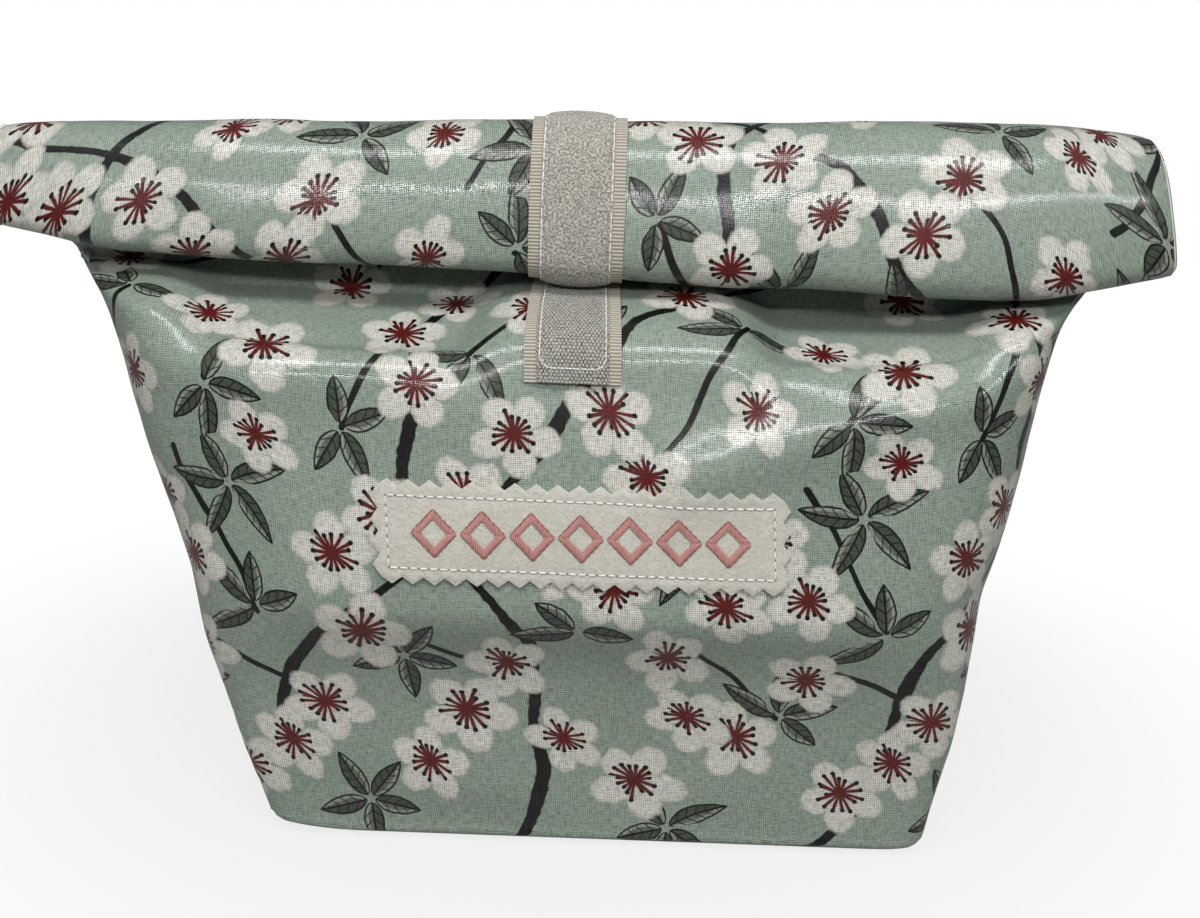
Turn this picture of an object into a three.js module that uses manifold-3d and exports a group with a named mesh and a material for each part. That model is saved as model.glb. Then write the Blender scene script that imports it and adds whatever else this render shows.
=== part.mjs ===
// A roll-top pouch of coated cotton: a sewn tube with a boxed base and a flat neck, closed by
// rolling its top forwards and fastening hook-and-loop tape at the centre of the front.
// Millimetres, +Z up, the front faces -Y, the origin is the centre of the base.
import * as THREE from "three";
import { mergeVertices } from "three/addons/utils/BufferGeometryUtils.js";
import Module from "manifold-3d";

const wasm = await Module();
wasm.setup();

// Sizes that can be set by themselves
const flatWidth = 318; // the sewn tube laid flat, seam to seam
const baseDepth = 132; // front to back of the boxed base
const neckHeight = 151.5; // base to where the tube is flat
const outerCloth = 0.6; // coated cotton
const liningCloth = 0.4;
const clearance = 0.3; // between pieces that touch
const baseEdge = 3; // rounding of the cloth where the base turns up into the walls
const neckGap = 4.8; // room between the two linings in the neck
const mouthGap = 4.4; // the same in the rolled part, up to the mouth
const rollLift = 5.5; // the roll hangs this far above the shoulders
const rollHeight = 33; // one pass of the roll, top to bottom
const rollSlack = 1.5; // between the roll's face and the hem tucked inside it
const hemLength = 14; // last pass, which ends at the mouth
const topBulge = 2.5; // how far each pass bows outwards
const faceBulge = 2;
const tapeWidth = 25;
const hookThickness = 1.2;
const loopThickness = 1.4;
const hookDrop = 27; // hook tape below the roll
const hookAboveHem = 6; // hook tape runs this far past the mouth tucked in front of it
const loopBackDrop = 26; // loop tape behind the neck, below the top fold
const labelWidth = 109;
const labelHeight = 29;
const labelThickness = 1.2;
const labelHeightAboveBase = 96; // centre of the label
const pinkPitch = 5.5; // zigzag edge of the label
const pinkDepth = 1.9;
const labelSeamInset = 4.4;
const motifLength = 81;
const motifHeight = 12;
const motifCount = 7;
const threadWidth = 0.6;
const threadThickness = 0.4;
const tapeSeamInset = 3.4;
const hookSeamInset = 4;
const hemSeamInset = 5;

// Sizes that follow from them
const girth = 2 * flatWidth;
const wall = outerCloth + clearance + liningCloth;
const neckThickness = 2 * wall + neckGap;
const passThickness = 2 * wall + mouthGap;
const tapeRoom = hookThickness + loopThickness + 3 * clearance; // both tapes between neck and hem
const topSpan = neckThickness + tapeRoom + 2 * passThickness + rollSlack;
const underSpan = 2 * passThickness + rollSlack;
const neckBack = neckThickness / 2; // y of the outer back face
const neckFront = -neckThickness / 2;
const rollBase = neckHeight + rollLift;
const rollTop = rollBase + rollHeight;
const hugeSize = 4 * flatWidth; // blocks that cut are larger than the pouch
const cutOverrun = 1; // and solids that are cut out run this far past an open end

// How the walls change from the boxed base to the flat neck, over the share h of the height
const bellyFlare = 0.65; // share of the widening that comes early; the rest comes close to the neck
const bellyFlarePower = 1.05;
const neckFlarePower = 60;
const seamCrowding = 1.5; // ring points stand closer towards the side seams
const ringPoints = 40;
const bodyLevels = [0.12, 0.28, 0.44, 0.6, 0.74, 0.86, 0.94, 0.98, 1];
const baseCorner = 12; // radius of the boxed corners seen from above
const baseSquareness = 18; // powers of the outline, higher for squarer corners
const bellySquareness = 4.5;
const bellyDepthPower = 4;
const shoulderDepthPower = 3;
const neckSquareness = 40;

// How finely curves are measured and sizes are searched for
const curveSteps = 160;
const searchSteps = 50;

const mix = (a, b, t) => a + (b - a) * t;
const smooth = (t) => THREE.MathUtils.smoothstep(t, 0, 1);

// One quarter of the curve |x/a|^m + |y/b|^n = 1, from the side (a, 0) to the front (0, b)
function quarter(a, b, m, n) {
  const points = [];
  for (let i = 0; i <= curveSteps; i++) {
    const angle = (i / curveSteps) * (Math.PI / 2);
    const x = a * Math.pow(Math.cos(angle), 2 / m);
    const y = b * Math.pow(Math.sin(angle), 2 / n);
    points.push(new THREE.Vector2(x, y));
  }
  points[0].set(a, 0);
  points[curveSteps].set(0, b);
  return points;
}

function lengthOf(points) {
  let sum = 0;
  for (let i = 1; i < points.length; i++) sum += points[i].distanceTo(points[i - 1]);
  return sum;
}

// The value between low and high at which measure(value) reaches target; measure rises
function solve(measure, target, low, high) {
  for (let i = 0; i < searchSteps; i++) {
    const middle = (low + high) / 2;
    if (measure(middle) < target) low = middle;
    else high = middle;
  }
  return (low + high) / 2;
}

// Closed ring of the curve, starting at the right side seam. Its y is the distance to the front.
function ring(a, b, m, n, count) {
  const fine = quarter(a, b, m, n);
  const perQuarter = count / 4;
  const total = lengthOf(fine);
  const even = [];
  let walked = 0;
  let k = 1;
  for (let i = 0; i < perQuarter; i++) {
    const target = Math.pow(i / perQuarter, seamCrowding) * total;
    while (k < fine.length && walked + fine[k].distanceTo(fine[k - 1]) < target) {
      walked += fine[k].distanceTo(fine[k - 1]);
      k++;
    }
    const step = fine[k].distanceTo(fine[k - 1]);
    even.push(fine[k - 1].clone().lerp(fine[k], step > 0 ? (target - walked) / step : 0));
  }
  const front = new THREE.Vector2(0, b);
  const mirrored = even.slice(1).reverse().map((p) => new THREE.Vector2(-p.x, p.y));
  const half = [...even, front, ...mirrored, new THREE.Vector2(-even[0].x, 0)];
  const back = half.slice(1, -1).reverse().map((p) => new THREE.Vector2(p.x, -p.y));
  return [...half, ...back];
}

// Half width, half depth and squareness of the outside of the pouch at the share h of its height
const neckHalfWidth = solve(
  (a) => 4 * lengthOf(quarter(a, neckThickness / 2, neckSquareness, 2)),
  girth, flatWidth / 4, flatWidth,
);
const cornerGain = (1 - Math.PI / 4) * baseCorner / 2; // rounded corners let each side move out
const baseHalfWidth = (flatWidth - baseDepth) / 2 + cornerGain;

function sectionAt(h) {
  const atNeck = Math.pow(h, neckFlarePower);
  const widening = mix(atNeck, Math.pow(h, bellyFlarePower), bellyFlare);
  const a = mix(baseHalfWidth, neckHalfWidth, widening);
  const m = mix(mix(baseSquareness, bellySquareness, smooth(2 * h)), neckSquareness, atNeck);
  const belly = mix(baseSquareness, bellyDepthPower, smooth(2 * h));
  const n = mix(mix(belly, shoulderDepthPower, smooth(2 * h - 1)), 2, atNeck);
  const reach = (b) => 4 * lengthOf(quarter(a, b, m, n));
  const b = Math.max(solve(reach, girth, 0.1, flatWidth / 2), neckThickness / 2);
  return { a, b, m, n };
}

// A closed surface through rings of equal count, given as rows of points, with flat ends. Its
// quads are split towards the side seams, alike on all four quarters.
function loftGeometry(rows) {
  const count = rows[0].length;
  const positions = [];
  const push = (...points) => points.forEach((p) => positions.push(p.x, p.y, p.z));
  for (let r = 0; r + 1 < rows.length; r++) {
    for (let i = 0; i < count; i++) {
      const j = (i + 1) % count;
      const leavesSeam = Math.floor((4 * i) / count) % 2 === 0;
      if (leavesSeam) {
        push(rows[r][i], rows[r][j], rows[r + 1][i]);
        push(rows[r][j], rows[r + 1][j], rows[r + 1][i]);
      } else {
        push(rows[r][i], rows[r][j], rows[r + 1][j]);
        push(rows[r][i], rows[r + 1][j], rows[r + 1][i]);
      }
    }
  }
  const middle = (row) => row.reduce((s, p) => s.add(p), new THREE.Vector3()).divideScalar(count);
  const first = middle(rows[0]);
  const last = middle(rows[rows.length - 1]);
  for (let i = 0; i < count; i++) {
    const j = (i + 1) % count;
    push(rows[0][j], rows[0][i], first);
    push(rows[rows.length - 1][i], rows[rows.length - 1][j], last);
  }
  const geometry = new THREE.BufferGeometry();
  geometry.setAttribute("position", new THREE.Float32BufferAttribute(positions, 3));
  return geometry;
}

// A closed three.js geometry as a solid that can be cut and joined
function solidOf(geometry) {
  const bare = geometry.index ? geometry.toNonIndexed() : geometry.clone();
  bare.deleteAttribute("normal");
  bare.deleteAttribute("uv");
  const merged = mergeVertices(bare, 1e-4);
  const mesh = new wasm.Mesh({
    numProp: 3,
    vertProperties: new Float32Array(merged.attributes.position.array),
    triVerts: new Uint32Array(merged.index.array),
  });
  mesh.merge();
  const solid = new wasm.Manifold(mesh);
  if (solid.volume() > 0) return solid;
  const turned = new Uint32Array(merged.index.array);
  for (let i = 0; i < turned.length; i += 3) [turned[i], turned[i + 1]] = [turned[i + 1], turned[i]];
  const outwards = new wasm.Mesh({
    numProp: 3,
    vertProperties: new Float32Array(merged.attributes.position.array),
    triVerts: turned,
  });
  outwards.merge();
  return new wasm.Manifold(outwards);
}

function geometryOf(solid) {
  const mesh = solid.getMesh();
  const stride = mesh.numProp;
  const positions = new Float32Array(mesh.numVert * 3);
  for (let i = 0; i < mesh.numVert; i++)
    for (let k = 0; k < 3; k++) positions[3 * i + k] = mesh.vertProperties[stride * i + k];
  const geometry = new THREE.BufferGeometry();
  geometry.setAttribute("position", new THREE.BufferAttribute(positions, 3));
  geometry.setIndex(new THREE.BufferAttribute(new Uint32Array(mesh.triVerts), 1));
  return geometry;
}

// The block between two corners, as a solid
function block(x0, x1, y0, y1, z0, z1) {
  const box = new THREE.BoxGeometry(x1 - x0, y1 - y0, z1 - z0);
  return solidOf(box.translate((x0 + x1) / 2, (y0 + y1) / 2, (z0 + z1) / 2));
}

// Everything on one side of a line across the pouch, seen from the side as (y, z)
function halfSpace(point, towards) {
  const box = new THREE.BoxGeometry(hugeSize, hugeSize, hugeSize).translate(0, hugeSize / 2, 0);
  box.rotateX(Math.atan2(towards.y, towards.x)).translate(0, point.x, point.y);
  return solidOf(box);
}

// The pouch below the neck as a solid block, smaller by inset all round or larger if inset is
// negative. A smaller one runs on upwards, so that it opens the neck when it is cut out.
function bodySolid(inset) {
  const rows = [];
  const row = (a, b, m, n, z) =>
    ring(a - inset, b - inset, m, n, ringPoints).map((p) => new THREE.Vector3(p.x, -p.y, z));
  const base = sectionAt(0);
  const edgeSteps = 3;
  for (let i = 0; i < edgeSteps; i++) {
    const turn = (i / edgeSteps) * (Math.PI / 2);
    const pull = baseEdge * (1 - Math.sin(turn));
    const rise = baseEdge * (1 - Math.cos(turn));
    rows.push(row(base.a - pull, base.b - pull, base.m, base.n, rise + inset));
  }
  rows.push(row(base.a, base.b, base.m, base.n, baseEdge + inset));
  for (const h of bodyLevels) {
    const s = sectionAt(h);
    rows.push(row(s.a, s.b, s.m, s.n, h * neckHeight));
  }
  if (inset > 0) {
    const s = sectionAt(1);
    rows.push(row(s.a, s.b, s.m, s.n, neckHeight + cutOverrun));
  }
  return solidOf(loftGeometry(rows));
}

// A flat tube: the ring of the flattened pouch seen end on. Across is x, through is the distance
// from the middle of its thickness towards the front panel.
const tipSteps = 4;

function flatRing(halfWidth, halfThickness) {
  const points = [];
  for (const side of [1, -1]) {
    for (let i = 0; i <= tipSteps; i++) {
      const angle = -Math.PI / 2 + (i / tipSteps) * Math.PI;
      const x = side * (halfWidth - halfThickness + halfThickness * Math.cos(angle));
      points.push(new THREE.Vector2(x, side * halfThickness * Math.sin(angle)));
    }
  }
  return points;
}

// Half width of the flat tube when it is this thick: the girth stays the same
const flatHalfWidth = (thickness) => girth / 4 + thickness / 2 - (Math.PI * thickness) / 4;

// The passes of the roll, seen from the side as (y, z). Each starts and ends at a corner on the
// outside of the roll, which is the back panel's outer face, and bows outwards.
const corner = {
  top: new THREE.Vector2(neckBack, rollTop),
  face: new THREE.Vector2(neckBack - topSpan, rollTop),
  under: new THREE.Vector2(neckBack - topSpan, rollBase),
  hem: new THREE.Vector2(neckBack - topSpan + underSpan, rollBase),
};
corner.mouth = corner.hem.clone().add(new THREE.Vector2(0, hemLength));

const passOverrun = 0.25; // share of its length that a pass runs on before it is cut at the fold
const splitOverrun = 0.3; // the same for the surface between its two panels
const splitSteps = 8;
const passes = [
  { name: "roll_top", from: corner.top, to: corner.face, bulge: topBulge, steps: 4 },
  { name: "roll_face", from: corner.face, to: corner.under, bulge: faceBulge, steps: 4 },
  { name: "roll_under", from: corner.under, to: corner.hem, bulge: 0, steps: 1 },
  { name: "roll_hem", from: corner.hem, to: corner.mouth, bulge: 0, steps: 1 },
];

// Directions of a pass: along it, and inwards from the outside of the roll
function directions(pass) {
  const along = pass.to.clone().sub(pass.from).normalize();
  return { along, inwards: new THREE.Vector2(-along.y, along.x) };
}

// Point of a pass at the share t of its length and the depth under its outer face
function passPoint(pass, t, depth) {
  const { along, inwards } = directions(pass);
  const span = pass.to.distanceTo(pass.from);
  const bow = 4 * pass.bulge * t * (1 - t);
  const slope = (4 * pass.bulge * (1 - 2 * t)) / span;
  const normal = inwards.clone().addScaledVector(along, slope).normalize();
  return pass.from.clone()
    .addScaledVector(along, span * t)
    .addScaledVector(inwards, -bow)
    .addScaledVector(normal, depth);
}

// The mitre planes at a pass's two ends, as solids to keep; the mouth's end is square
function trimPass(solid, pass, index) {
  const { along, inwards } = directions(pass);
  const half = clearance / 2;
  const startNormal = along.clone().sub(inwards).normalize();
  let kept = solid.intersect(halfSpace(pass.from.clone().addScaledVector(startNormal, half), startNormal));
  if (index < passes.length - 1) {
    const endNormal = along.clone().add(inwards).normalize().negate();
    kept = kept.intersect(halfSpace(pass.to.clone().addScaledVector(endNormal, half), endNormal));
  }
  return kept;
}

// The tube of one pass, shrunk by inset, running past both ends so that it can be trimmed
function passTube(pass, index, inset) {
  const halfThickness = passThickness / 2 - inset;
  const section = flatRing(flatHalfWidth(passThickness) - inset, halfThickness);
  const shares = [-passOverrun];
  for (let i = 0; i <= pass.steps; i++) shares.push(i / pass.steps);
  shares.push(1 + passOverrun);
  const rows = shares.map((t) =>
    section.map((p) => {
      const at = passPoint(pass, t, passThickness / 2 + p.y);
      return new THREE.Vector3(p.x, at.x, at.y);
    }),
  );
  return solidOf(loftGeometry(rows));
}

// Cuts a sheet of one pass into its back panel half and its front panel half
function splitPass(solid, pass) {
  const { inwards } = directions(pass);
  const outline = [];
  for (let i = 0; i <= splitSteps; i++) {
    const t = mix(-splitOverrun, 1 + splitOverrun, i / splitSteps);
    outline.push(passPoint(pass, t, passThickness / 2));
  }
  const far = outline.map((p) => p.clone().addScaledVector(inwards, -2 * passThickness)).reverse();
  const slab = extrudeAcross([...outline, ...far], hugeSize);
  const gap = clearance / 2;
  const shifted = (solidSlab, by) => solidSlab.translate([0, inwards.x * by, inwards.y * by]);
  return {
    back: solid.intersect(shifted(slab, -gap)),
    front: solid.subtract(shifted(slab, gap)),
  };
}

// A side outline in (y, z) extruded evenly across x
function extrudeAcross(outline, width, centre = 0) {
  const shape = new THREE.Shape(outline);
  const geometry = new THREE.ExtrudeGeometry(shape, { depth: width, bevelEnabled: false });
  // the shape's (x, y) become (y, z) and its depth becomes x
  const turn = new THREE.Matrix4().set(
    0, 0, 1, centre - width / 2,
    1, 0, 0, 0,
    0, 1, 0, 0,
    0, 0, 0, 1,
  );
  return solidOf(geometry.applyMatrix4(turn));
}

const materials = {
  coatedCotton: new THREE.MeshStandardMaterial({ color: 0x8fa79a, roughness: 0.42, metalness: 0 }),
  lining: new THREE.MeshStandardMaterial({ color: 0xd9d6cc, roughness: 0.8, metalness: 0 }),
  tape: new THREE.MeshStandardMaterial({ color: 0xa7a59e, roughness: 0.95, metalness: 0 }),
  leather: new THREE.MeshStandardMaterial({ color: 0xd8d4c9, roughness: 0.55, metalness: 0 }),
  thread: new THREE.MeshStandardMaterial({ color: 0xe9e8e4, roughness: 0.8, metalness: 0 }),
  embroidery: new THREE.MeshStandardMaterial({ color: 0xb98a84, roughness: 0.6, metalness: 0 }),
};

const pouch = new THREE.Group();
pouch.name = "roll_top_pouch";

function add(name, solid, material) {
  const mesh = new THREE.Mesh(geometryOf(solid), material);
  mesh.name = name;
  pouch.add(mesh);
}

// Body and neck: four cloth panels, each half of a shell
const liningInset = outerCloth + clearance;

function addBody() {
  const half = clearance / 2;
  const frontHalf = block(-hugeSize, hugeSize, -hugeSize, -half, -hugeSize, hugeSize);
  const backHalf = block(-hugeSize, hugeSize, half, hugeSize, -hugeSize, hugeSize);
  const outer = bodySolid(0).subtract(bodySolid(outerCloth));
  const lining = bodySolid(liningInset).subtract(bodySolid(wall));
  const belowNeck = block(-hugeSize, hugeSize, -hugeSize, hugeSize, -hugeSize, neckHeight);
  add("front_panel", outer.intersect(frontHalf), materials.coatedCotton);
  add("back_panel", outer.intersect(backHalf), materials.coatedCotton);
  add("lining_front", lining.intersect(belowNeck).intersect(frontHalf), materials.lining);
  add("lining_back", lining.intersect(belowNeck).intersect(backHalf), materials.lining);
}

// The neck, a flat tube straight up from the body to the top fold
function neckTube(inset) {
  const section = ring(neckHalfWidth - inset, neckThickness / 2 - inset, neckSquareness, 2, ringPoints);
  const low = neckHeight + clearance - (inset > 0 ? cutOverrun : 0);
  const rows = [low, rollTop + cutOverrun].map((z) => section.map((p) => new THREE.Vector3(p.x, -p.y, z)));
  return solidOf(loftGeometry(rows));
}

function addNeck() {
  const half = clearance / 2;
  const normal = new THREE.Vector2(1, -1).normalize();
  const keep = halfSpace(corner.top.clone().addScaledVector(normal, half), normal);
  const above = block(-hugeSize, hugeSize, -hugeSize, hugeSize, neckHeight + clearance, hugeSize);
  const outer = neckTube(0).subtract(neckTube(outerCloth)).intersect(keep).intersect(above);
  const lining = neckTube(liningInset).subtract(neckTube(wall)).intersect(keep).intersect(above);
  const frontHalf = block(-hugeSize, hugeSize, -hugeSize, -half, -hugeSize, hugeSize);
  const backHalf = block(-hugeSize, hugeSize, half, hugeSize, -hugeSize, hugeSize);
  add("front_panel_neck", outer.intersect(frontHalf), materials.coatedCotton);
  add("back_panel_neck", outer.intersect(backHalf), materials.coatedCotton);
  add("lining_front_neck", lining.intersect(frontHalf), materials.lining);
  add("lining_back_neck", lining.intersect(backHalf), materials.lining);
}

// The four passes of the roll: the same four cloths, cut at the folds
function addRoll() {
  passes.forEach((pass, index) => {
    const tube = (inset) => passTube(pass, index, inset);
    const outer = trimPass(tube(0).subtract(tube(outerCloth)), pass, index);
    const lining = trimPass(tube(liningInset).subtract(tube(wall)), pass, index);
    const mouthEnd = extrudeAcross(mouthKeep(), hugeSize);
    const ended = (solid) => (index === passes.length - 1 ? solid.intersect(mouthEnd) : solid);
    const outerHalves = splitPass(ended(outer), pass);
    const liningHalves = splitPass(ended(lining), pass);
    add("back_panel_" + pass.name, outerHalves.back, materials.coatedCotton);
    add("front_panel_" + pass.name, outerHalves.front, materials.coatedCotton);
    add("lining_back_" + pass.name, liningHalves.back, materials.lining);
    add("lining_front_" + pass.name, liningHalves.front, materials.lining);
  });
}

// Side outline of everything below the mouth
function mouthKeep() {
  const edge = corner.mouth.y;
  return [
    new THREE.Vector2(-hugeSize, -hugeSize),
    new THREE.Vector2(hugeSize, -hugeSize),
    new THREE.Vector2(hugeSize, edge),
    new THREE.Vector2(-hugeSize, edge),
  ];
}

// A strip lying on a path seen from the side: from depth low to depth high off the path's points
function stripOutline(points, normals, low, high) {
  const near = points.map((p, i) => p.clone().addScaledVector(normals[i], low));
  const far = points.map((p, i) => p.clone().addScaledVector(normals[i], high)).reverse();
  return [...near, ...far];
}

// Unit normals of a path seen from the side, to the left of the way it runs
function normalsOf(points) {
  return points.map((p, i) => {
    const before = points[Math.max(i - 1, 0)];
    const after = points[Math.min(i + 1, points.length - 1)];
    const along = after.clone().sub(before).normalize();
    return new THREE.Vector2(-along.y, along.x);
  });
}

// Cuts what lies on a pass's outer face square at the two folds, so that it clears its neighbours
function trimAtFolds(solid, pass, index) {
  const { along } = directions(pass);
  const half = clearance / 2;
  const kept = solid.intersect(halfSpace(pass.from.clone().addScaledVector(along, half), along));
  if (index === passes.length - 1) return kept;
  const back = along.clone().negate();
  return kept.intersect(halfSpace(pass.to.clone().addScaledVector(back, half), back));
}

// A strip on a pass's outer face, between two distances off it
function stripOnPass(pass, index, low, high, width, centre) {
  const last = index === passes.length - 1;
  const shares = last ? [] : [1 + passOverrun];
  for (let i = pass.steps; i >= 0; i--) shares.push(i / pass.steps);
  shares.push(-passOverrun);
  shares.reverse();
  const outer = shares.map((t) => passPoint(pass, t, -high));
  const inner = shares.map((t) => passPoint(pass, t, -low)).reverse();
  return trimAtFolds(extrudeAcross([...outer, ...inner], width, centre), pass, index);
}

// The tape's quarter turn round the fold at which a pass starts
function tapeBend(pass) {
  const { along, inwards } = directions(pass);
  const outwards = inwards.clone().negate();
  const before = along.clone().negate(); // the way the previous pass faces
  const steps = 5;
  const arc = (radius) => {
    const points = [];
    for (let i = 0; i <= steps; i++) {
      const angle = (i / steps) * (Math.PI / 2);
      points.push(
        pass.from.clone()
          .addScaledVector(before, radius * Math.cos(angle))
          .addScaledVector(outwards, radius * Math.sin(angle)),
      );
    }
    return points;
  };
  const outline = [...arc(clearance + loopThickness), ...arc(clearance / 2).reverse()];
  const half = clearance / 2;
  return extrudeAcross(outline, tapeWidth)
    .intersect(halfSpace(pass.from.clone().addScaledVector(before, half), before))
    .intersect(halfSpace(pass.from.clone().addScaledVector(outwards, half), outwards));
}

// Loop tape: sewn to the back panel, over the fold, down the roll's face, under it and up the hem
function addLoopTape() {
  const tapeTop = clearance + loopThickness;
  const threadLow = tapeTop + clearance;
  const threadHigh = threadLow + threadThickness;
  const seamX = tapeWidth / 2 - tapeSeamInset;
  const seams = [["left", -seamX], ["right", seamX]];
  const behindNeck = (low, high, width, x) =>
    block(
      x - width / 2, x + width / 2,
      neckBack + low, neckBack + high,
      rollTop - loopBackDrop, rollTop - clearance / 2,
    );
  add("loop_tape_neck", behindNeck(clearance, tapeTop, tapeWidth, 0), materials.tape);
  for (const [side, x] of seams)
    add("loop_thread_" + side + "_neck", behindNeck(threadLow, threadHigh, threadWidth, x), materials.thread);
  passes.forEach((pass, index) => {
    add("loop_tape_" + pass.name, stripOnPass(pass, index, clearance, tapeTop, tapeWidth, 0), materials.tape);
    add("loop_tape_bend_" + pass.name, tapeBend(pass), materials.tape);
    if (pass.name === "roll_hem") return; // there the stitches are sunk in the fastened pile
    for (const [side, x] of seams)
      add(
        "loop_thread_" + side + "_" + pass.name,
        stripOnPass(pass, index, threadLow, threadHigh, threadWidth, x),
        materials.thread,
      );
  });
}

// Side outline of the front panel at its centre, from the given height up to the neck's middle
function frontProfile(lowest, highest) {
  const heights = bodyLevels.map((h) => h * neckHeight);
  const yAt = (z) => {
    if (z >= neckHeight) return neckFront;
    let k = 1;
    while (heights[k] < z) k++;
    const t = (z - heights[k - 1]) / (heights[k] - heights[k - 1]);
    return -mix(sectionAt(bodyLevels[k - 1]).b, sectionAt(bodyLevels[k]).b, t);
  };
  const stops = [lowest, ...heights.filter((z) => z > lowest && z < highest), highest];
  return stops.map((z) => new THREE.Vector2(yAt(z), z));
}

// Hook tape: sewn to the front panel under the roll, with one U of stitching
function addHookTape() {
  const lowest = rollBase - hookDrop;
  const highest = rollBase + hemLength + hookAboveHem;
  const path = frontProfile(lowest, highest);
  const normals = normalsOf(path);
  const tapeTop = clearance + hookThickness;
  const tape = extrudeAcross(stripOutline(path, normals, clearance, tapeTop), tapeWidth);
  add("hook_tape", tape, materials.tape);
  const low = tapeTop + clearance;
  const seamWidth = tapeWidth - 2 * hookSeamInset;
  const thread = extrudeAcross(stripOutline(path, normals, low, low + threadThickness), seamWidth);
  const inside = seamWidth / 2 - threadWidth;
  const seamBottom = lowest + hookSeamInset;
  const seamTop = neckHeight - hookSeamInset;
  const middle = block(-inside, inside, -hugeSize, hugeSize, seamBottom + threadWidth, hugeSize);
  const kept = block(-hugeSize, hugeSize, -hugeSize, hugeSize, seamBottom, seamTop);
  add("hook_tape_thread", thread.subtract(middle).intersect(kept), materials.thread);
}

// A flat outline in (x, z) about the label's centre, laid on the front panel between two
// distances off its face
function onFront(shape, low, high) {
  const geometry = new THREE.ExtrudeGeometry(shape, { depth: hugeSize, bevelEnabled: false });
  const forwards = new THREE.Matrix4().set(
    1, 0, 0, 0,
    0, 0, -1, 0,
    0, 1, 0, labelHeightAboveBase,
    0, 0, 0, 1,
  );
  const prism = solidOf(geometry.applyMatrix4(forwards));
  return bodySolid(-high).subtract(bodySolid(-low)).intersect(prism);
}

// Rectangle with a zigzag edge, as pinking shears cut it
function pinkedOutline(width, height, pitch, depth) {
  const points = [];
  const side = (from, to, outwards) => {
    const teeth = Math.max(1, Math.round(from.distanceTo(to) / pitch));
    for (let i = 0; i < teeth; i++) {
      points.push(from.clone().lerp(to, i / teeth));
      points.push(from.clone().lerp(to, (i + 0.5) / teeth).addScaledVector(outwards, depth));
    }
  };
  const w = width / 2 - depth;
  const h = height / 2 - depth;
  const at = (x, y) => new THREE.Vector2(x, y);
  side(at(-w, -h), at(w, -h), at(0, -1));
  side(at(w, -h), at(w, h), at(1, 0));
  side(at(w, h), at(-w, h), at(0, 1));
  side(at(-w, h), at(-w, -h), at(-1, 0));
  return new THREE.Shape(points);
}

function rectangle(width, height) {
  const corners = [[-1, -1], [1, -1], [1, 1], [-1, 1]];
  return corners.map(([x, y]) => new THREE.Vector2((x * width) / 2, (y * height) / 2));
}

function addLabel() {
  const top = clearance + labelThickness;
  const threadLow = top + clearance;
  const threadHigh = threadLow + threadThickness;
  const outline = pinkedOutline(labelWidth, labelHeight, pinkPitch, pinkDepth);
  add("label", onFront(outline, clearance, top), materials.leather);
  const seamWidth = labelWidth - 2 * labelSeamInset;
  const seamHeight = labelHeight - 2 * labelSeamInset;
  const seam = new THREE.Shape(rectangle(seamWidth, seamHeight));
  const hole = rectangle(seamWidth - 2 * threadWidth, seamHeight - 2 * threadWidth);
  seam.holes.push(new THREE.Path(hole.reverse()));
  add("label_thread", onFront(seam, threadLow, threadHigh), materials.thread);
  const motif = new THREE.Shape(diamondChain(seamHeight - 4 * threadWidth));
  add("label_motif", onFront(motif, threadLow, threadHigh), materials.embroidery);
}

// A chain of stitched diamonds joined tip to tip, no taller than the room inside the seam
function diamondChain(room) {
  const tall = Math.min(motifHeight, room) / 2;
  const step = motifLength / motifCount;
  const upper = [];
  for (let i = 0; i < motifCount; i++) {
    const left = -motifLength / 2 + i * step;
    upper.push(new THREE.Vector2(left, threadWidth / 2));
    upper.push(new THREE.Vector2(left + step / 2, tall));
  }
  upper.push(new THREE.Vector2(motifLength / 2, threadWidth / 2));
  const lower = upper.map((p) => new THREE.Vector2(p.x, -p.y));
  return [...lower, ...upper.reverse()];
}

// Topstitching round the mouth, one line on each panel's outer face
function addHemThread() {
  const pass = passes[passes.length - 1];
  const width = 2 * (flatHalfWidth(passThickness) - passThickness);
  const high = corner.mouth.y - hemSeamInset;
  const line = (from, to) =>
    extrudeAcross(
      [[from, high - threadWidth], [to, high - threadWidth], [to, high], [from, high]].map(
        ([y, z]) => new THREE.Vector2(y, z),
      ),
      width,
    );
  const backFace = passPoint(pass, 0.5, 0).x;
  const frontFaceY = passPoint(pass, 0.5, passThickness).x;
  const tapeBlock = block(
    -tapeWidth / 2 - clearance, tapeWidth / 2 + clearance,
    -hugeSize, hugeSize, -hugeSize, hugeSize,
  );
  const backLine = line(backFace + clearance, backFace + clearance + threadThickness).subtract(tapeBlock);
  const halves = backLine.decompose();
  halves.sort((p, q) => p.boundingBox().min[0] - q.boundingBox().min[0]);
  if (halves.length !== 2) throw new Error("the hem's back seam needs the tape between its halves");
  add("hem_thread_back_left", halves[0], materials.thread);
  add("hem_thread_back_right", halves[1], materials.thread);
  add("hem_thread_front", line(frontFaceY - clearance - threadThickness, frontFaceY - clearance), materials.thread);
}

addBody();
addNeck();
addRoll();
addLoopTape();
addHookTape();
addLabel();
addHemThread();

export default pouch;
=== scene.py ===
import bpy
import bmesh
import math
import numpy as np
from mathutils import Matrix, Vector, noise


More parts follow.
